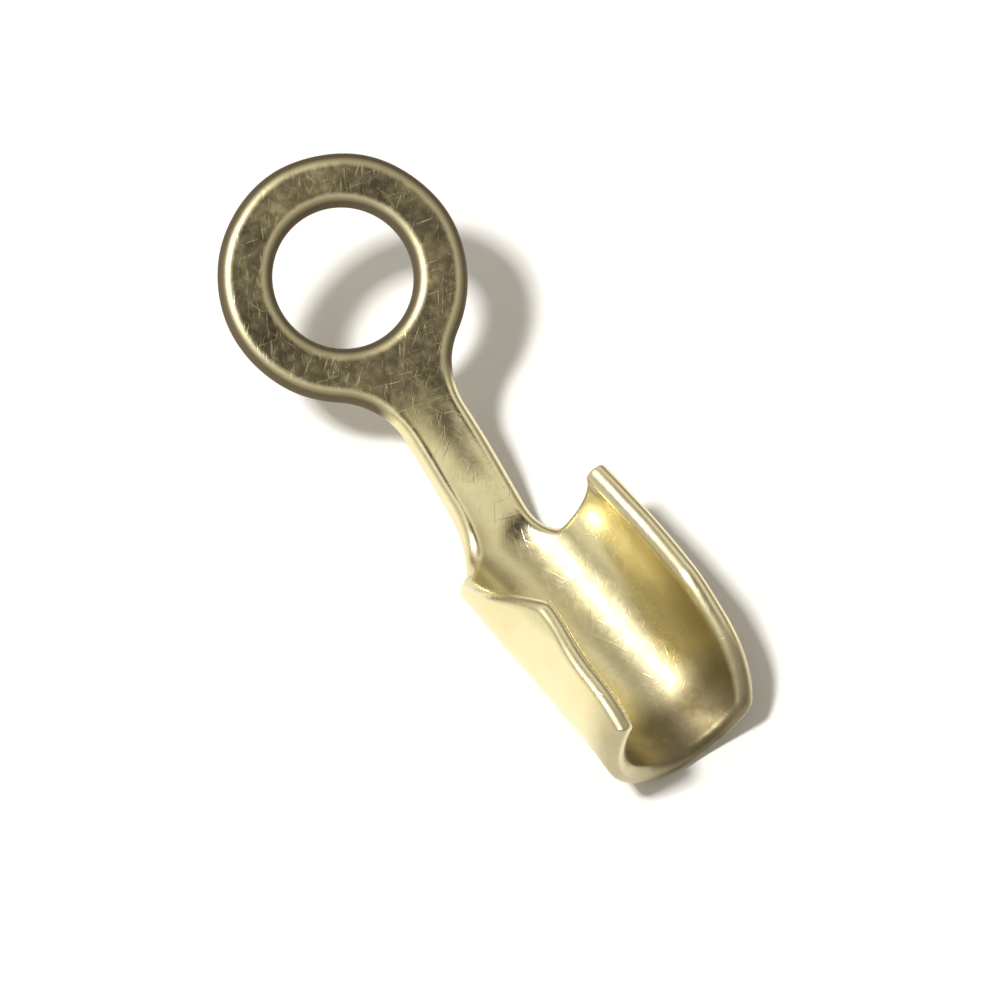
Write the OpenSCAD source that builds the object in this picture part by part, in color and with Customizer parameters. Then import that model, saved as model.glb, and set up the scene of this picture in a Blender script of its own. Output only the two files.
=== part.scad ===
// Fold-over cord end: one stamping of thin sheet, rolled up into an open channel for the cord,
// with a raised neck that ends in a flat ring.
// Millimetres. +X runs from the ring to the channel's open end and +Z is up.
// The origin is under the middle of the part, on the surface that it rests on.

/* [Sheet] */
// Thickness of the sheet
sheet_t = 0.3; // [0.2:0.02:0.36]

/* [Channel] */
// Length of the two flaps, along the cord
flap_l = 3.6; // [3:0.05:5]
// Radius inside the channel
bore_r = 0.93; // [0.7:0.01:1.1]
// Angle from the middle of the floor up to the top edge of the flap on the +Y side
far_flap_angle = 107; // [95:1:125]
// Angle from the middle of the floor up to the top edge of the flap on the -Y side
near_flap_angle = 130; // [95:1:140]
// Length over which a flap is cut down: the +Y one towards the open end, the -Y one towards the neck
flap_cut_l = 1.9; // [1.4:0.1:2.2]
// Height of a flap at the end where it is cut down
low_end_h = 0.5; // [0.3:0.05:0.8]
// Radius of the cut's outward bulge
flap_cut_r = 3.2; // [2.4:0.2:6]
// Height that is pressed flat off the round underside
flat_h = 0.05; // [0.01:0.01:0.06]

/* [Neck] */
// Width at the narrowest place
neck_w = 0.9; // [0.7:0.05:1.2]
// Angle of the neck and the ring above the channel's floor
neck_rise = 29; // [15:1:35]
// Radius of the bend between the channel's floor and the neck
bend_r = 1; // [0.8:0.1:1.6]
// Radius of the neck's shallow trough, across its width
dish_r = 1.3; // [1.2:0.1:3]
// Radius of the fillet where the neck widens towards the flap on the +Y side
far_shoulder_r = 0.9; // [0.7:0.1:1.2]
// Length over which it widens there
far_shoulder_l = 0.55; // [0.4:0.05:0.6]
// Radius of the fillet where the neck widens towards the flap on the -Y side
near_shoulder_r = 1.3; // [1.2:0.1:2]
// Length over which it widens there
near_shoulder_l = 1; // [0.7:0.05:1.1]

/* [Ring] */
// Outer radius of the ring
ring_r = 1.6; // [1.3:0.05:1.9]
// Radius of the hole in the ring
hole_r = 0.9; // [0.7:0.05:1.05]
// Distance from the end of the bend to the middle of the ring
ring_reach = 3.75; // [3.4:0.05:4.2]
// Radius of the fillets between the neck and the ring
ring_fillet_r = 1; // [0.3:0.1:1.2]

/* [Hidden] */
$fn = 96;

// Half thickness of the sheet, which is where its middle surface lies
half_t = sheet_t / 2;
// Radius of the channel outside, and the height of the channel's axis
shell_r = bore_r + sheet_t;
axis_z = shell_r - flat_h;
// Height of the middle surface along the neck's floor, a little under the channel's
neck_drop = 0.02;
neck_z = axis_z - bore_r - half_t - neck_drop;
// The ring's middle surface lies this far above the neck's lowest line, half the trough's depth
ring_lift = (dish_r - sqrt(pow(dish_r, 2) - pow(neck_w / 2, 2))) / 2;
// Length of the whole part along X, and the places that follow from it
ramp_l = (ring_reach + ring_r) * cos(neck_rise) + (half_t - ring_lift) * sin(neck_rise);
part_l = flap_l + bend_r * sin(neck_rise) + ramp_l;
tail_x = part_l / 2;
root_x = tail_x - flap_l;
// The neck's two shoulders: side, radius and length
shoulders = [[1, far_shoulder_r, far_shoulder_l], [-1, near_shoulder_r, near_shoulder_l]];
// How far the neck reaches to each side where it meets the flaps
function root_reach(r, l) = neck_w / 2 + r - sqrt(pow(r, 2) - pow(l, 2));
far_reach = root_reach(far_shoulder_r, far_shoulder_l);
near_reach = root_reach(near_shoulder_r, near_shoulder_l);
// Degrees by which the bend starts inside the channel, so that the two overlap
lap_angle = 3;
// Room that a cutting solid keeps past what it cuts
spare = 1;
// How far outside a flap the arc of its cut starts and ends
overshoot = 0.03;

// Channel

// One side of the opening between the flaps, as a direction from the channel's axis
function ray(angle, reach) = [reach * sin(angle), -reach * cos(angle)];

// Section across the channel, in Y and Z about its axis
module channel_section() {
    reach = 4 * shell_r;
    difference() {
        circle(r = shell_r);
        circle(r = bore_r);
        polygon([
            [0, 0],
            ray(far_flap_angle, reach),
            [reach, reach],
            [-reach, reach],
            ray(-near_flap_angle, reach)
        ]);
    }
}

// Highest point of the flap whose top edge is at this angle
function flap_top(angle) = axis_z - shell_r * cos(angle);

// Middle of the arc with radius r that bulges to the upper right between points p and q
function arc_middle(p, q, r) =
    let (
        chord = q - p,
        half = norm(chord) / 2,
        inward = [chord[1], -chord[0]] / norm(chord)
    )
    (p + q) / 2 + inward * sqrt(r * r - half * half);

// What is cut off a flap on the -Y side, with its low end at X = 0 and its top edge at this angle
module flap_cut(angle) {
    top = flap_top(angle);
    from = [-flap_cut_l, top + overshoot];
    to = [overshoot, low_end_h];
    rotate([90, 0, 0])
        linear_extrude(shell_r + spare)
            difference() {
                translate([from[0], to[1]])
                    square([flap_cut_l + spare, top - low_end_h + spare]);
                translate(arc_middle(from, to, flap_cut_r))
                    circle(r = flap_cut_r);
            }
}

module channel() {
    difference() {
        translate([root_x, 0, axis_z])
            rotate([90, 0, 90])
                linear_extrude(flap_l)
                    channel_section();
        translate([tail_x, shell_r + spare, 0])
            flap_cut(far_flap_angle);
        translate([root_x, 0, 0])
            mirror([1, 0, 0])
                flap_cut(near_flap_angle);
    }
}

// Neck

// Section across the neck, a shallow trough with its lowest point at the origin
module neck_section() {
    intersection() {
        translate([0, dish_r])
            difference() {
                circle(r = dish_r + half_t);
                circle(r = dish_r - half_t);
            }
        translate([-near_reach, -sheet_t])
            square([near_reach + far_reach, dish_r]);
    }
}

// Puts what follows where the neck leaves the bend: +X towards the ring, +Z out of the sheet's upper face
module at_neck() {
    translate([root_x, 0, neck_z + bend_r])
        rotate([0, neck_rise, 0])
            translate([0, 0, -bend_r])
                mirror([1, 0, 0])
                    children();
}

module bend() {
    translate([root_x, 0, neck_z + bend_r])
        rotate([-90, 90 - lap_angle, 0])
            rotate_extrude(angle = neck_rise + lap_angle)
                translate([bend_r, 0])
                    rotate(90)
                        neck_section();
}

module neck_strip() {
    at_neck()
        rotate([90, 0, 90])
            linear_extrude(ring_reach - (ring_r + hole_r) / 2)
                neck_section();
}

// Outline of the neck seen along the ramp's normal: a strip that widens towards the flaps
module neck_outline() {
    start = -bend_r - spare;
    difference() {
        translate([start, -near_reach])
            square([ring_reach - start, near_reach + far_reach]);
        for (shoulder = shoulders) {
            r = shoulder[1];
            middle_y = shoulder[0] * (neck_w / 2 + r);
            translate([shoulder[2] - bend_r * sin(neck_rise), middle_y]) {
                circle(r = r);
                translate([0, -r])
                    square([ring_reach, 2 * r]);
            }
        }
    }
}

module neck() {
    intersection() {
        union() {
            bend();
            neck_strip();
        }
        at_neck()
            translate([0, 0, -spare])
                linear_extrude(3 * spare)
                    neck_outline();
    }
}

// Ring

// Middle of the fillet on the +Y side, from the ring's middle
fillet_y = neck_w / 2 + ring_fillet_r;
fillet_x = -sqrt(pow(ring_r + ring_fillet_r, 2) - pow(fillet_y, 2));

module ring_outline() {
    circle(r = ring_r);
    difference() {
        polygon([[0, 0], [fillet_x, fillet_y], [fillet_x, -fillet_y]]);
        for (side = [-1, 1])
            translate([fillet_x, side * fillet_y])
                circle(r = ring_fillet_r);
    }
}

module ring() {
    at_neck()
        translate([ring_reach, 0, ring_lift - half_t])
            linear_extrude(sheet_t)
                ring_outline();
}

module ring_hole() {
    at_neck()
        translate([ring_reach, 0, -spare])
            cylinder(r = hole_r, h = 2 * spare);
}

// What is pressed off the round underside of the channel and the bend
module underside() {
    from_x = root_x - bend_r;
    translate([from_x, -shell_r, -spare])
        cube([tail_x + spare - from_x, 2 * shell_r, spare]);
}

// The whole stamping is one solid
module cord_end() {
    color("#d8c67c")
        difference() {
            union() {
                channel();
                neck();
                ring();
            }
            ring_hole();
            underside();
        }
}

cord_end();
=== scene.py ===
# Looks of the fold-over cord end: one stamping of thin gold-tone sheet, lying on a pale floor.
# Sizes are named in millimetres, as in the CAD source, and become metres where a mesh is made.
import math
import bpy
from mathutils import Matrix, Vector, kdtree, noise
from mathutils.geometry import delaunay_2d_cdt


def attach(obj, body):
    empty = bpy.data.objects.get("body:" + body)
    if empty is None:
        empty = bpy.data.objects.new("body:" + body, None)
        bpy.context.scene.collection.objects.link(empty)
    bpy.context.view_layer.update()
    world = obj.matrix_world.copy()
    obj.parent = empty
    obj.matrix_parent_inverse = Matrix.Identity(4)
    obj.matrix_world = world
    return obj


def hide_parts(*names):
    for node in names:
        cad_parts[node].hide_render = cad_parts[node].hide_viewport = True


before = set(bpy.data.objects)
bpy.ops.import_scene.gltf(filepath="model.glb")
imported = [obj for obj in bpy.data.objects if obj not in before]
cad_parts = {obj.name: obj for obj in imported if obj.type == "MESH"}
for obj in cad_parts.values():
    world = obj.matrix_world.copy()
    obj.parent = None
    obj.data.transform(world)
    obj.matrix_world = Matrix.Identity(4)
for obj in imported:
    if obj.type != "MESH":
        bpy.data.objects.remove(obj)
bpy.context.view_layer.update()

MM = 0.001

# Sizes of the stamping, the same as in the CAD source
SHEET_T = 0.3
FLAP_L = 3.6
BORE_R = 0.93
FAR_FLAP = math.radians(107)
NEAR_FLAP = math.radians(130)
FLAP_CUT_L = 1.9
LOW_END_H = 0.5
FLAP_CUT_R = 3.2
CUT_OVERSHOOT = 0.03
FLAT_H = 0.05
NECK_W = 0.9
NECK_RISE = math.radians(29)
BEND_R = 1.0
DISH_R = 1.3
FAR_SHOULDER_R = 0.9
FAR_SHOULDER_L = 0.55
NEAR_SHOULDER_R = 1.3
NEAR_SHOULDER_L = 1.0
RING_R = 1.6
HOLE_R = 0.9
RING_REACH = 3.75
RING_FILLET_R = 1.0

# Radius of the channel's middle surface, height of its axis and floor, and X of its open end
HALF_T = SHEET_T / 2
MIDDLE_R = BORE_R + HALF_T
AXIS_Z = MIDDLE_R + HALF_T - FLAT_H
FLOOR_Z = AXIS_Z - MIDDLE_R
TAIL_X = 4.409

# Length of the bend, and place of the ring's middle along the blank, measured from the open end
BEND_L = BEND_R * NECK_RISE
RING_S = FLAP_L + BEND_L + RING_REACH

# The neck bows a little, so that it leaves the channel more steeply than it meets the ring
NECK_BOW = math.radians(4)
# The far side of the ring sits a little higher than the near one
RING_TWIST = math.radians(7)
# The ring's middle surface lies this far above the lowest line of the neck's
RING_LIFT = 0.020
# The bend starts and ends this far outside its own length, so that it sets in softly
BEND_EASE = 0.22
# The channel's curl eases to the neck's over this length
NECK_EASE_L = 0.7
# The sheet flattens over this length, which starts this far before the ring's edge
FLATTEN_L = 0.85
FLATTEN_LEAD = 0.75
# The open end's radius is larger by this share, which fades over this length
FLARE = 0.055
FLARE_L = 0.9

# Past this turn a flap curls more tightly than the channel by a share, and less tightly where the share is
# below 0. The near flap has one share all along it. Each flap has a peak too, at a place and with a width.
LEAN_FROM = math.radians(60)
NEAR_LEAN = -0.07
NEAR_PEAK = 0.24
NEAR_PEAK_S = 2.1
NEAR_PEAK_W = 0.5
FAR_PEAK = -0.2
FAR_PEAK_S = 2.3
FAR_PEAK_W = 0.7

# Depth over which the edges are rounded, at the flaps and the neck and then at the ring.
# The one eases to the other over a length that starts this far before the ring's edge.
FLAP_ROUND = 0.13
RING_ROUND = 0.17
ROUND_L = 0.8
ROUND_LEAD = 0.6

# Waves and dents of the sheet, and waves of its cut edge: depth, steps of noise in a millimetre, and the
# slice of the noise that is read
WAVE_DEPTH = 0.010
WAVE_RATE = 0.85
WAVE_SLICE = 1.3
DENT_DEPTH = 0.0035
DENT_RATE = 2.6
DENT_SLICE = 8.1
EDGE_WAVE = 0.018
EDGE_WAVE_RATE = 1.1
EDGE_WAVE_SLICE = 4.7

# Below this curvature the sheet counts as flat across
FLAT_CURL = 1e-4

# How finely the sheet is drawn
SPINE_STEP = 0.01
FINE_STEP = 0.01
FLAP_EDGE_STEPS = 200
CORNER_SOFTNESS = 0.055
EDGE_STEP = 0.028
GRID_STEP = 0.036
# Rows of points over the rounded edge, as degrees of its quarter turn, and rows past the last of them
ROW_TURNS = (0, 15, 30, 46)
LOOSE_GAPS = (0.032, 0.064, 0.096)
# A point of those rows stays if no other edge is nearer than this share of its own depth
NEAREST_SHARE = 0.97
# The triangulation keeps what lies inside the borders, and joins points that are closer than this
INSIDE_BORDERS = 1
SAME_PLACE = 1e-6

# Darker brown inside the channel: everywhere, more high up the far flap, and most at the open end
DARKENING_ALL = 0.15
DARKENING_FAR = 0.3
DARKENING_FAR_V = 0.9
DARKENING_FAR_W = 0.5
DARKENING_ROOT_L = 0.8
MOUTH_END_S = 1.4
MOUTH_FADE_L = 0.85
MOUTH_V = 0.35
MOUTH_W = 1.2
# Darker brown outside, at the open end
OUTSIDE_DARKENING = 0.5
OUTSIDE_END_S = 0.8
OUTSIDE_FADE_L = 0.7
# Depth from an edge over which the flaps' edges are worn, and the ring's are rougher and carry painted shade
WEAR_AND_SHADE_DEPTH = 0.2


# Curves

def ease(t):
    """From 0 to 1, with a soft start and end."""
    t = min(1.0, max(0.0, t))
    return t * t * (3 - 2 * t)


def bell(t):
    """1 at the middle, fading to both sides."""
    return math.exp(-0.5 * t * t)


def to_ring(s):
    """0 along the channel and the neck, easing to 1 where the ring starts."""
    return ease((s - (RING_S - RING_R - FLATTEN_LEAD)) / FLATTEN_L)


# How the blank is bent

def make_spine():
    """Points X, Z and slope along the middle of the sheet, every SPINE_STEP from the open end."""
    points = []
    x, z = TAIL_X, FLOOR_Z
    start = FLAP_L - BEND_EASE
    length = BEND_L + 2 * BEND_EASE
    neck_l = RING_S - RING_R - start - length
    for i in range(int((RING_S + 2 * RING_R) / SPINE_STEP)):
        s = i * SPINE_STEP
        bow = NECK_BOW * (1 - 2 * ease((s - start - length) / neck_l))
        slope = (NECK_RISE + bow) * ease((s - start) / length)
        points.append((x, z, slope))
        x -= math.cos(slope) * SPINE_STEP
        z += math.sin(slope) * SPINE_STEP
    return points


SPINE = make_spine()


def spine(s):
    """X, Z and slope of the middle of the sheet at s."""
    s = max(0.0, s)
    i = min(int(s / SPINE_STEP), len(SPINE) - 2)
    t = s / SPINE_STEP - i
    return tuple(p + (q - p) * t for p, q in zip(SPINE[i], SPINE[i + 1]))


def curl(s):
    """Curvature across the sheet: the channel's, easing to the neck's trough and to the flat ring."""
    to_neck = ease((s - FLAP_L) / NECK_EASE_L)
    widened = MIDDLE_R * (1 + FLARE * max(0.0, 1 - s / FLARE_L) ** 2)
    return (1 / widened + (1 / DISH_R - 1 / MIDDLE_R) * to_neck) * (1 - to_ring(s))


def lean(s, v):
    """Share by which the curl of a flap's upper part is tighter than the channel's."""
    if v < 0:
        return NEAR_LEAN + NEAR_PEAK * bell((s - NEAR_PEAK_S) / NEAR_PEAK_W)
    return FAR_PEAK * bell((s - FAR_PEAK_S) / FAR_PEAK_W)


def curled(s, v, k):
    """Y, height and turn of the middle surface at v across the sheet, where its curvature is k."""
    turn = abs(v) * k
    low = min(turn, LEAN_FROM)
    y, h = math.sin(low) / k, (1 - math.cos(low)) / k
    if turn > low:
        tight = 1 + lean(s, v)
        turn = low + (turn - low) * tight
        y += (math.sin(turn) - math.sin(low)) / (k * tight)
        h += (math.cos(low) - math.cos(turn)) / (k * tight)
    return math.copysign(y, v), h, math.copysign(turn, v)


def place(s, v, off):
    """A point of the bent sheet: s along the blank, v across it, off above its middle surface."""
    x, z, slope = spine(s)
    k = curl(s)
    twist = RING_TWIST * ease((s - FLAP_L - BEND_L) / (RING_S - RING_R - FLAP_L - BEND_L))
    if k < FLAT_CURL:
        y, h, ny, nh = v, 0.0, 0.0, 1.0
    else:
        y, h, turn = curled(s, v, k)
        ny, nh = -math.sin(turn), math.cos(turn)
    y += off * ny
    h += off * nh
    y, h = y * math.cos(twist) - h * math.sin(twist), y * math.sin(twist) + h * math.cos(twist)
    h += RING_LIFT * to_ring(s)
    return Vector((x + h * math.sin(slope), y, max(0.0, z + h * math.cos(slope))))


# Outline of the blank

def arc(cx, cy, r, a0, a1):
    """Points along an arc, from the angle a0 to a1."""
    count = max(2, int(abs(a1 - a0) * r / FINE_STEP))
    angles = [a0 + (a1 - a0) * i / count for i in range(count + 1)]
    return [(cx + r * math.cos(a), cy + r * math.sin(a)) for a in angles]


def line(p, q):
    """Points along a straight line from p to q."""
    count = max(1, int(math.dist(p, q) / FINE_STEP))
    dx, dy = q[0] - p[0], q[1] - p[1]
    return [(p[0] + dx * i / count, p[1] + dy * i / count) for i in range(count + 1)]


def pairs(path):
    """Each point of a closed path with the next one."""
    return list(zip(path, path[1:] + path[:1]))


def flap_edge(angle):
    """Top edge of a flap, from its low end to its square one."""
    top = AXIS_Z - (MIDDLE_R + HALF_T) * math.cos(angle)
    p, q = Vector((FLAP_CUT_L, top + CUT_OVERSHOOT)), Vector((-CUT_OVERSHOOT, LOW_END_H))
    across = (p - q).orthogonal().normalized()
    middle = (p + q) / 2 - across * math.sqrt(FLAP_CUT_R ** 2 - (p - q).length_squared / 4)
    points = []
    for i in range(FLAP_EDGE_STEPS + 1):
        s = FLAP_CUT_L * i / FLAP_EDGE_STEPS
        z = middle.y + math.sqrt(FLAP_CUT_R ** 2 - (s - middle.x) ** 2)
        turn = math.acos(max(-1.0, min(1.0, (AXIS_Z - z) / MIDDLE_R)))
        points.append((s, MIDDLE_R * min(angle, turn)))
    return points + line(points[-1], (FLAP_L, MIDDLE_R * angle))[1:]


def unrolled(path):
    """The path again, with its distance in Y turned into distance along the curled sheet."""
    return [(s, math.asin(y * curl(s)) / curl(s) if curl(s) > FLAT_CURL else y) for s, y in path]


def side_outline(edge, shoulder_r, shoulder_l):
    """Half of the blank's outline, from the middle of the open end to the ring's far end."""
    path = line((0.0, 0.0), edge[0]) + edge[1:]
    root_turn = math.asin(shoulder_l / shoulder_r)
    shoulder = unrolled(arc(FLAP_L + shoulder_l, NECK_W / 2 + shoulder_r, shoulder_r,
                            -math.pi / 2 - root_turn, -math.pi / 2))
    path += line(path[-1], shoulder[0])[1:] + shoulder[1:]
    fillet_v = NECK_W / 2 + RING_FILLET_R
    fillet_s = RING_S - math.sqrt((RING_R + RING_FILLET_R) ** 2 - fillet_v ** 2)
    meet = math.atan2(fillet_v, fillet_s - RING_S)
    path += line(path[-1], (fillet_s, NECK_W / 2))[1:]
    path += arc(fillet_s, fillet_v, RING_FILLET_R, -math.pi / 2, meet - math.pi)[1:]
    path += arc(RING_S, 0.0, RING_R, meet, 0.0)[1:]
    return path


def evenly(path, step):
    """The closed path again, with its points an even distance apart."""
    closed = path + path[:1]
    total = sum(math.dist(p, q) for p, q in zip(closed, closed[1:]))
    count = round(total / step)
    gap = total / count
    points, walked, i = [], 0.0, 0
    for n in range(count):
        while walked + math.dist(closed[i], closed[i + 1]) < n * gap:
            walked += math.dist(closed[i], closed[i + 1])
            i += 1
        p, q = closed[i], closed[i + 1]
        t = (n * gap - walked) / math.dist(p, q)
        points.append((p[0] + (q[0] - p[0]) * t, p[1] + (q[1] - p[1]) * t))
    return points


def soften(path, radius, step):
    """Rounds the corners of an even closed path with a bell-shaped average."""
    reach = int(3 * radius / step)
    weights = [bell(i * step / radius) for i in range(-reach, reach + 1)]
    total = sum(weights)
    n = len(path)

    def average(i, axis):
        return sum(w * path[(i + j - reach) % n][axis] for j, w in enumerate(weights)) / total

    return [(average(i, 0), average(i, 1)) for i in range(n)]


def right_normals(path):
    """Unit normal at each point of a closed path, to the right of the way that it runs."""
    normals = []
    for i in range(len(path)):
        p, q = Vector(path[i - 1]), Vector(path[(i + 1) % len(path)])
        normals.append(Vector((q.y - p.y, p.x - q.x)).normalized())
    return normals


def roughen(path):
    """Lets the cut edge wander a little, as on a cheap stamping."""
    moved = []
    for (s, v), side in zip(path, right_normals(path)):
        away = EDGE_WAVE * noise.noise(Vector((s * EDGE_WAVE_RATE, v * EDGE_WAVE_RATE, EDGE_WAVE_SLICE)))
        moved.append((s + side.x * away, v + side.y * away))
    return moved


def blank_outline():
    """The outer edge, out along the far side and back along the near one."""
    far = side_outline(flap_edge(FAR_FLAP), FAR_SHOULDER_R, FAR_SHOULDER_L)
    # The far flap is cut down towards the open end, and the near one towards the neck
    near_edge = [(FLAP_L - s, v) for s, v in reversed(flap_edge(NEAR_FLAP))]
    near = [(s, -v) for s, v in side_outline(near_edge, NEAR_SHOULDER_R, NEAR_SHOULDER_L)]
    even = evenly(far + near[-2:0:-1], FINE_STEP)
    return roughen(soften(even, CORNER_SOFTNESS, FINE_STEP))


OUTER = blank_outline()
HOLE = arc(RING_S, 0.0, HOLE_R, 0.0, 2 * math.pi)[:-1]


# Points of the flat blank, each with its place along and across the blank and its depth inside the edge

def make_edge_tree():
    """The points of both edges, ready to be searched for the nearest one."""
    tree = kdtree.KDTree(len(OUTER) + len(HOLE))
    for i, (s, v) in enumerate(OUTER + HOLE):
        tree.insert((s, v, 0.0), i)
    tree.balance()
    return tree


EDGE_TREE = make_edge_tree()


def edge_distance(s, v):
    """Distance from the nearest point of either edge."""
    return EDGE_TREE.find((s, v, 0.0))[2]


def edge_round(s):
    """Depth over which the edge is rounded: short at the flaps and the neck, long at the ring."""
    return FLAP_ROUND + (RING_ROUND - FLAP_ROUND) * ease((s - (RING_S - RING_R - ROUND_LEAD)) / ROUND_L)


def row_depth(s, turn):
    """Depth of a row of points, at this many degrees of the edge's quarter turn."""
    return edge_round(s) * (1 - math.cos(math.radians(turn)))


def signed_area(path):
    """Twice the area of a closed path, positive where it runs to the left."""
    return sum(p[0] * q[1] - q[0] * p[1] for p, q in pairs(path))


def edge_rows(path, is_hole, first):
    """Rows of points along an edge, numbered from first, with the quads between them and the inmost row."""
    side = 1 if (signed_area(path) < 0) != is_hole else -1
    inward = [normal * side for normal in right_normals(path)]

    def moved_in(p, normal, depth):
        return p[0] + normal.x * depth, p[1] + normal.y * depth, depth

    points, rows, quads = [], [], []
    for turn in ROW_TURNS:
        start = first + len(points)
        rows.append(list(range(start, start + len(path))))
        points += [moved_in(p, normal, row_depth(p[0], turn)) for p, normal in zip(path, inward)]
    for low, high in zip(rows, rows[1:]):
        quads += [(a, b, d, c) for (a, b), (c, d) in zip(pairs(low), pairs(high))]
    for gap in LOOSE_GAPS:
        for p, normal in zip(path, inward):
            s, v, depth = moved_in(p, normal, row_depth(p[0], ROW_TURNS[-1]) + gap)
            if edge_distance(s, v) > NEAREST_SHARE * depth:
                points.append((s, v, depth))
    return points, quads, rows[-1]


def crossings(s):
    """Where the outer edge crosses the line across the blank at s, in order."""
    return sorted(
        v0 + (s - s0) / (s1 - s0) * (v1 - v0)
        for (s0, v0), (s1, v1) in pairs(OUTER)
        if (s0 > s) != (s1 > s)
    )


def grid_points():
    """Points of an even grid of triangles, where they lie deeper in the metal than the rows."""
    points = []
    # Height of a triangle with three equal sides
    row_gap = GRID_STEP * math.sqrt(0.75)
    v_count = int(MIDDLE_R * NEAR_FLAP / GRID_STEP) + 2
    for i in range(int((RING_S + RING_R) / row_gap) + 1):
        s = i * row_gap
        cuts = crossings(s)
        least = row_depth(s, ROW_TURNS[-1]) + LOOSE_GAPS[-1] + 0.5 * GRID_STEP
        for j in range(-v_count, v_count + 1):
            v = (j + 0.5 * (i % 2)) * GRID_STEP
            outside = sum(cut < v for cut in cuts) % 2 == 0
            if outside or math.dist((s, v), (RING_S, 0.0)) < HOLE_R:
                continue
            depth = edge_distance(s, v)
            if depth > least:
                points.append((s, v, depth))
    return points


# Faces of the flat blank

def sides(face):
    return [frozenset((face[k], face[k - 1])) for k in range(len(face))]


def fill(points, quads, borders):
    """Triangles between the borders, from all points that no quad uses and those of the borders."""
    laced = set(i for quad in quads for i in quad)
    on_border = set(i for row in borders for i in row)
    chosen = [i for i in range(len(points)) if i in on_border or i not in laced]
    rank = {i: n for n, i in enumerate(chosen)}
    fixed = [(rank[a], rank[b]) for row in borders for a, b in pairs(row)]
    flat = [Vector(points[i][:2]) for i in chosen]
    result = delaunay_2d_cdt(flat, fixed, [], INSIDE_BORDERS, SAME_PLACE, True)
    sources, found = result[3], result[2]
    return [tuple(chosen[sources[i][0]] for i in face) for face in found]


def only_metal(triangles, borders):
    """The triangles that can be reached from the grid without stepping over a border."""
    on_border = set(i for row in borders for i in row)
    walls = set(frozenset(pair) for row in borders for pair in pairs(row))
    sharing = {}
    for n, face in enumerate(triangles):
        for side in sides(face):
            sharing.setdefault(side, []).append(n)
    reached = [n for n, face in enumerate(triangles) if not on_border.issuperset(face)]
    kept = set(reached)
    while reached:
        for side in sides(triangles[reached.pop()]):
            if side in walls:
                continue
            for n in sharing[side]:
                if n not in kept:
                    kept.add(n)
                    reached.append(n)
    return [triangles[n] for n in sorted(kept)]


def flat_blank():
    """Points and faces of the flat blank."""
    points, quads, borders = [], [], []
    for edge, is_hole in ((OUTER, False), (HOLE, True)):
        new_points, new_quads, border = edge_rows(evenly(edge, EDGE_STEP), is_hole, len(points))
        points += new_points
        quads += new_quads
        borders.append(border)
    points += grid_points()
    return points, only_metal(fill(points, quads, borders), borders) + quads


# The solid sheet

def thickness(s, depth):
    """Half of the sheet's thickness at this depth inside its edge, which is a quarter of an ellipse."""
    t = min(1.0, depth / edge_round(s))
    return HALF_T * math.sqrt(1 - (1 - t) ** 2)


def waviness(s, v):
    """How far the middle surface lies off its even shape."""
    slow = noise.noise(Vector((s * WAVE_RATE, v * WAVE_RATE, WAVE_SLICE)))
    quick = noise.noise(Vector((s * DENT_RATE, v * DENT_RATE, DENT_SLICE)))
    return WAVE_DEPTH * slow + DENT_DEPTH * quick


def darkening_inside(s, v):
    """How brown the plating is inside the channel: most of all towards the open end."""
    inside = 1 - ease((s - FLAP_L) / DARKENING_ROOT_L)
    far_side = DARKENING_FAR * ease((v - DARKENING_FAR_V) / DARKENING_FAR_W)
    mouth = ease((MOUTH_END_S - s) / MOUTH_FADE_L) * bell((v - MOUTH_V) / MOUTH_W)
    return max((DARKENING_ALL + far_side) * inside, mouth)


def darkening_outside(s):
    """How brown the plating is on the outside."""
    return OUTSIDE_DARKENING * ease((OUTSIDE_END_S - s) / OUTSIDE_FADE_L)


def edge_wear_and_shade(s, depth):
    """From 1 on the flaps' edges, polished by tumbling, to -1 on the ring's, which are rougher and carry
    painted shade.
    """
    return (1 - 2 * to_ring(s)) * max(0.0, 1 - depth / WEAR_AND_SHADE_DEPTH)


def add_values(mesh, name, values):
    """Stores a number at each point of the mesh, for its material."""
    mesh.attributes.new(name, "FLOAT", "POINT").data.foreach_set("value", values)


def make_sheet():
    """The bent sheet, with an upper and a lower surface that meet along the very edge."""
    points, flat_faces = flat_blank()
    top, low = {}, {}
    vertices, wear_and_shade, darkening = [], [], []
    for i in sorted({i for face in flat_faces for i in face}):
        s, v, depth = points[i]
        wave = waviness(s, v)
        half = thickness(s, depth)
        top[i] = low[i] = len(vertices)
        vertices.append(place(s, v, wave + half) * MM)
        wear_and_shade.append(edge_wear_and_shade(s, depth))
        darkening.append(darkening_inside(s, v))
        if depth > 0.0:
            low[i] = len(vertices)
            vertices.append(place(s, v, wave - half) * MM)
            wear_and_shade.append(edge_wear_and_shade(s, depth))
            darkening.append(darkening_outside(s))
    faces = []
    for face in flat_faces:
        # The blank's s runs towards -X, so a turn to the left there faces down
        up = face if signed_area([points[i] for i in face]) < 0 else face[::-1]
        faces.append([top[i] for i in up])
        faces.append([low[i] for i in up[::-1]])
    mesh = bpy.data.meshes.new("cord_end_sheet")
    mesh.from_pydata(vertices, [], faces)
    mesh.polygons.foreach_set("use_smooth", [True] * len(mesh.polygons))
    # Polish on the flaps' edges, and painted shade on the ring's edges
    add_values(mesh, "rim", wear_and_shade)
    # Darker brown places inside the channel and at its open end
    add_values(mesh, "darkening", darkening)
    mesh.validate()
    mesh.update()
    return bpy.data.objects.new("cord_end_sheet", mesh)


sheet = make_sheet()
bpy.context.scene.collection.objects.link(sheet)
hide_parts("cord_end")
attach(sheet, "root")


# Materials

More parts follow.
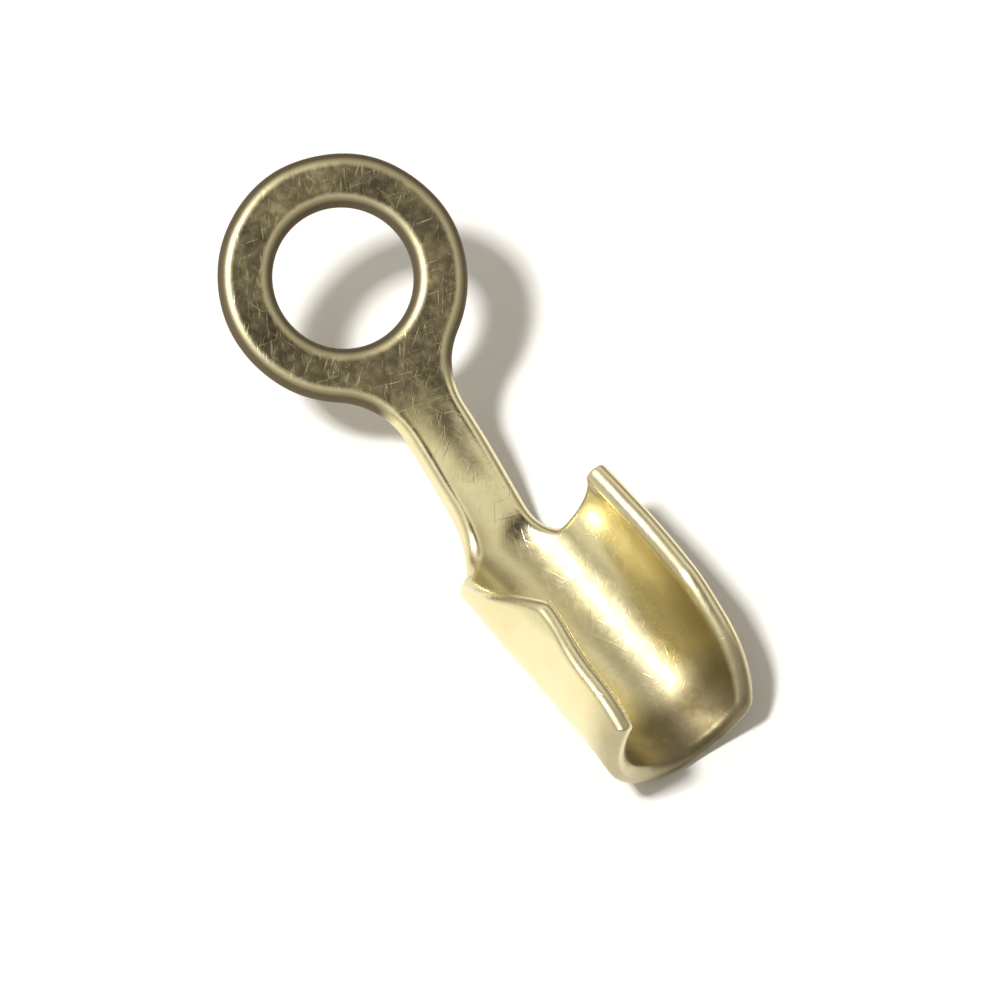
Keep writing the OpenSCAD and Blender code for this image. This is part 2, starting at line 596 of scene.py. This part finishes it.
class Nodes:
    """Short calls to build the node tree of a material or of the world."""

    def __init__(self, owner):
        owner.use_nodes = True
        self.tree = owner.node_tree
        self.tree.nodes.clear()

    def add(self, kind, **settings):
        node = self.tree.nodes.new(kind)
        for key, value in settings.items():
            setattr(node, key, value)
        return node

    def link(self, source, target):
        self.tree.links.new(source, target)

    def fill_in(self, socket, value):
        """Links the socket to an output, or sets it to a plain value."""
        if isinstance(value, bpy.types.NodeSocket):
            self.link(value, socket)
        else:
            socket.default_value = value

    def noise_texture(self, coordinates, scale, detail, roughness=0.5):
        node = self.add("ShaderNodeTexNoise")
        self.link(coordinates, node.inputs["Vector"])
        node.inputs["Scale"].default_value = scale
        node.inputs["Detail"].default_value = detail
        node.inputs["Roughness"].default_value = roughness
        return node.outputs["Fac"]

    def stretched(self, coordinates, size, rotation):
        """The coordinates turned, and then counted in steps of this size."""
        node = self.add("ShaderNodeMapping", vector_type="TEXTURE")
        node.inputs["Scale"].default_value = size
        node.inputs["Rotation"].default_value = rotation
        self.link(coordinates, node.inputs["Vector"])
        return node.outputs["Vector"]

    def mapped(self, value, source, target=(0.0, 1.0)):
        """The value moved from the one range to the other."""
        node = self.add("ShaderNodeMapRange")
        for key, number in zip(("From Min", "From Max", "To Min", "To Max"), (*source, *target)):
            node.inputs[key].default_value = number
        self.link(value, node.inputs["Value"])
        return node.outputs["Result"]

    def math(self, operation, a, b):
        node = self.add("ShaderNodeMath", operation=operation)
        self.fill_in(node.inputs[0], a)
        self.fill_in(node.inputs[1], b)
        return node.outputs["Value"]

    def mix(self, factor, a, b):
        node = self.add("ShaderNodeMix", data_type="RGBA")
        self.link(factor, node.inputs["Factor"])
        self.fill_in(node.inputs["A"], a)
        self.fill_in(node.inputs["B"], b)
        return node.outputs["Result"]


def start_material(name):
    """A new material, with its node calls, its shader and the object's own coordinates."""
    material = bpy.data.materials.new(name)
    n = Nodes(material)
    out = n.add("ShaderNodeOutputMaterial")
    shader = n.add("ShaderNodeBsdfPrincipled")
    n.link(shader.outputs["BSDF"], out.inputs["Surface"])
    return material, n, shader, n.add("ShaderNodeTexCoord").outputs["Object"]


# Colours of the plating: between the blotches and in them, then on polished edges, painted shade on the
# ring's edges, and darker brown places
PALE_GOLD = (0.87, 0.79, 0.50, 1.0)
DEEP_GOLD = (0.80, 0.71, 0.40, 1.0)
POLISHED_GOLD = (0.88, 0.81, 0.57, 1.0)
RIM_SHADE_GOLD = (0.15, 0.122, 0.075, 1.0)
DARK_BROWN_GOLD = (0.09, 0.065, 0.03, 1.0)
# Noise: its scale counts per metre
BLOTCH_SCALE = 900.0
GRAIN_SCALE = 9000.0
BLOTCH_DETAIL = 4.0
GRAIN_DETAIL = 3.0
NOISE_ROUGHNESS = 0.6
# What is mapped to what: levels of the noise or of the values on the mesh, and what they become
BLOTCHES_TO_COLOUR = ((0.35, 0.65), (0.0, 1.0))
WEAR_TO_POLISH = ((0.2, 1.0), (0.0, 0.4))
WEAR_TO_RIM_SHADE = ((-0.05, -0.7), (0.0, 1.0))
BLOTCHES_TO_DARKENING = ((0.35, 0.6), (0.84, 1.0))
BLOTCHES_TO_ROUGHNESS = ((0.3, 0.7), (0.14, 0.26))
GRAINS_TO_ROUGHNESS = ((0.4, 0.7), (0.0, 0.06))
DARKENING_ROUGHNESS = 0.3
DULL_ROUGHNESS = 0.40
# Tumbling leaves short scratches every way: the size of one in metres, their directions, and the noise
# that they are read from, with the levels from which it is a scratch
SCRATCH_SIZE = (0.4 * MM, 0.03 * MM, 0.2 * MM)
SCRATCH_TURNS = (0.4, -0.6, 1.3, 2.2, 2.8)
SCRATCH_SCALE = 1.0
SCRATCH_DETAIL = 1.0
SCRATCH_LEVELS = (0.67, 0.80)
# Relief of the grains and the scratches
GRAIN_HEIGHT = 0.6
SCRATCH_HEIGHT = -0.5
RELIEF_DEPTH = 0.004 * MM
RELIEF_STRENGTH = 0.5


def scratches(n, place_at):
    """1 in the scratches, and 0 between them."""
    total = 0.0
    for turn in SCRATCH_TURNS:
        along = n.stretched(place_at, SCRATCH_SIZE, (0.0, 0.0, turn))
        lines = n.noise_texture(along, SCRATCH_SCALE, SCRATCH_DETAIL)
        total = n.math("ADD", total, n.mapped(lines, SCRATCH_LEVELS))
    return total


def gold_material():
    """Thin gold plating, blotchy and tumbled, with polished flap edges, rougher ring edges that carry
    painted shade, and darker brown places.
    """
    material, n, shader, place_at = start_material("gold_plate_tumbled")
    shader.inputs["Metallic"].default_value = 1.0
    blotches = n.noise_texture(place_at, BLOTCH_SCALE, BLOTCH_DETAIL, NOISE_ROUGHNESS)
    grains = n.noise_texture(place_at, GRAIN_SCALE, GRAIN_DETAIL, NOISE_ROUGHNESS)
    wear_and_shade = n.add("ShaderNodeAttribute", attribute_name="rim").outputs["Fac"]
    darkening = n.add("ShaderNodeAttribute", attribute_name="darkening").outputs["Fac"]
    darkening = n.math("MULTIPLY", darkening, n.mapped(blotches, *BLOTCHES_TO_DARKENING))
    # The ring's edges are rougher, and their colour is painted dark: painted shade in place of the glint
    # they would catch
    rim_shade = n.mapped(wear_and_shade, *WEAR_TO_RIM_SHADE)

    colour = n.mix(n.mapped(blotches, *BLOTCHES_TO_COLOUR), PALE_GOLD, DEEP_GOLD)
    colour = n.mix(n.mapped(wear_and_shade, *WEAR_TO_POLISH), colour, POLISHED_GOLD)
    # Painted shade on the ring's edges
    colour = n.mix(rim_shade, colour, RIM_SHADE_GOLD)
    # Darker brown and rougher inside the channel and at its open end
    colour = n.mix(darkening, colour, DARK_BROWN_GOLD)
    n.link(colour, shader.inputs["Base Color"])

    rough = n.math("ADD", n.mapped(blotches, *BLOTCHES_TO_ROUGHNESS), n.mapped(grains, *GRAINS_TO_ROUGHNESS))
    rough = n.math("ADD", rough, n.math("MULTIPLY", darkening, DARKENING_ROUGHNESS))
    rough = n.math("ADD", rough, n.math("MULTIPLY", rim_shade, DULL_ROUGHNESS))
    n.link(rough, shader.inputs["Roughness"])

    relief = n.add("ShaderNodeBump")
    relief.inputs["Strength"].default_value = RELIEF_STRENGTH
    relief.inputs["Distance"].default_value = RELIEF_DEPTH
    height = n.math("ADD", n.math("MULTIPLY", grains, GRAIN_HEIGHT),
                    n.math("MULTIPLY", scratches(n, place_at), SCRATCH_HEIGHT))
    n.link(height, relief.inputs["Height"])
    n.link(relief.outputs["Normal"], shader.inputs["Normal"])
    return material


sheet.data.materials.append(gold_material())

# Floor

FLOOR_HALF = 0.5
FLOOR_COLOURS = ((0.69, 0.68, 0.66, 1.0), (0.72, 0.71, 0.69, 1.0))
FLOOR_CLOUD_SCALE = 60.0
FLOOR_CLOUD_DETAIL = 2.0
FLOOR_ROUGHNESS = 0.75
FLOOR_SPECULAR = 0.2


def floor_material():
    """Pale matt paint, a little cloudy."""
    material, n, shader, place_at = start_material("pale_floor")
    cloud = n.noise_texture(place_at, FLOOR_CLOUD_SCALE, FLOOR_CLOUD_DETAIL)
    n.link(n.mix(cloud, *FLOOR_COLOURS), shader.inputs["Base Color"])
    shader.inputs["Roughness"].default_value = FLOOR_ROUGHNESS
    shader.inputs["Specular IOR Level"].default_value = FLOOR_SPECULAR
    return material


floor_mesh = bpy.data.meshes.new("floor")
corners = [(x * FLOOR_HALF, y * FLOOR_HALF, 0) for x, y in ((-1, -1), (1, -1), (1, 1), (-1, 1))]
floor_mesh.from_pydata(corners, [], [(0, 1, 2, 3)])
floor = bpy.data.objects.new("floor", floor_mesh)
bpy.context.scene.collection.objects.link(floor)
floor.data.materials.append(floor_material())

# Light

# The world is a light tent. Its wall is given as sine of the height and colour. On the key light's side
# a bright band runs low around it. The ceiling is grey, with a dark opening in it.
WALL = (
    (0.00, (0.30, 0.26, 0.20)),
    (0.38, (0.34, 0.30, 0.24)),
    (0.58, (0.68, 0.66, 0.61)),
    (0.74, (0.96, 0.93, 0.86)),
)
LOW_BAND = (0.98, 0.96, 0.88, 1.0)
LOW_BAND_SIDE = (-0.4, -0.75)
LOW_BAND_HEIGHT = (0.45, 0.25)
CEILING = (0.45, 0.42, 0.36, 1.0)
CEILING_FROM = (0.77, 0.84)
OPENING = (0.03, 0.022, 0.015, 1.0)
OPENING_TOWARD = (0.30, -0.03, 0.953)
OPENING_COSINES = (0.925, 0.975)


def tent_wall(n, height):
    """Colour of the tent's wall at each height."""
    wall = n.add("ShaderNodeValToRGB")
    steps = wall.color_ramp.elements
    # A new step needs some place, and the second loop gives it its own
    for _ in range(len(WALL) - len(steps)):
        steps.new(0.5)
    for step, (level, colour) in zip(steps, WALL):
        step.position = level
        step.color = (*colour, 1.0)
    n.link(height, wall.inputs["Fac"])
    return wall.outputs["Color"]


def light_tent():
    """The world: wall, low band, ceiling and opening, each laid over the ones before it."""
    world = bpy.data.worlds.new("studio")
    n = Nodes(world)
    out = n.add("ShaderNodeOutputWorld")
    background = n.add("ShaderNodeBackground")
    direction = n.add("ShaderNodeTexCoord").outputs["Generated"]
    toward = n.add("ShaderNodeSeparateXYZ")
    n.link(direction, toward.inputs["Vector"])
    height = toward.outputs["Z"]
    near_opening = n.add("ShaderNodeVectorMath", operation="DOT_PRODUCT")
    near_opening.inputs[1].default_value = OPENING_TOWARD
    n.link(direction, near_opening.inputs[0])

    in_band = n.math("MULTIPLY", n.mapped(toward.outputs["Y"], LOW_BAND_SIDE),
                     n.mapped(height, LOW_BAND_HEIGHT))
    colour = n.mix(in_band, tent_wall(n, height), LOW_BAND)
    colour = n.mix(n.mapped(height, CEILING_FROM), colour, CEILING)
    colour = n.mix(n.mapped(near_opening.outputs["Value"], OPENING_COSINES), colour, OPENING)
    n.link(colour, background.inputs["Color"])
    n.link(background.outputs["Background"], out.inputs["Surface"])
    return world


bpy.context.scene.world = light_tent()
bpy.context.scene.view_settings.view_transform = "Standard"

# Softboxes: name, direction from the object, sides in metres, power in watts, and colour
SOFTBOX_DISTANCE = 0.4
SOFTBOXES = (
    ("key", (-0.09, -0.44, 0.893), (0.05, 0.05), 1.9, (1.0, 1.0, 1.0)),
    ("card", (-0.45, -0.34, 0.84), (0.08, 0.26), 0.045, (1.0, 0.97, 1.15)),
)


def softbox(name, toward, size, power, colour):
    """An area light in the direction that is given, facing the object, with its first side along X."""
    light = bpy.data.lights.new(name, "AREA")
    light.color = colour
    light.shape = "RECTANGLE"
    light.size, light.size_y = size
    light.energy = power
    lamp = bpy.data.objects.new(name, light)
    direction = Vector(toward).normalized()
    side = (Vector((1, 0, 0)) - direction * direction.x).normalized()
    lamp.location = direction * SOFTBOX_DISTANCE
    lamp.rotation_mode = "QUATERNION"
    lamp.rotation_quaternion = Matrix((side, direction.cross(side), direction)).transposed().to_quaternion()
    bpy.context.scene.collection.objects.link(lamp)


for row in SOFTBOXES:
    softbox(*row)

# Camera, at the photograph's angle, with its distance and the width that it sees in metres

AZIMUTH = math.radians(53.5)
ELEVATION = math.radians(58.5)
AIM = Vector((0.35, 0.0, 1.0)) * MM
DISTANCE = 0.16
FIELD = 12.6 * MM
SENSOR_W = 36.0
CLIP_START = 0.01
CLIP_END = 10.0


def add_camera():
    """The scene's camera, which looks at AIM from the photograph's direction."""
    flat = math.cos(ELEVATION)
    back = Vector((math.sin(AZIMUTH) * flat, -math.cos(AZIMUTH) * flat, math.sin(ELEVATION)))
    settings = bpy.data.cameras.new("camera")
    settings.sensor_width = SENSOR_W
    settings.lens = SENSOR_W * DISTANCE / FIELD
    settings.clip_start = CLIP_START
    settings.clip_end = CLIP_END
    camera = bpy.data.objects.new("camera", settings)
    camera.location = AIM + back * DISTANCE
    camera.rotation_mode = "QUATERNION"
    camera.rotation_quaternion = back.to_track_quat("Z", "Y")
    bpy.context.scene.collection.objects.link(camera)
    bpy.context.scene.camera = camera


add_camera()
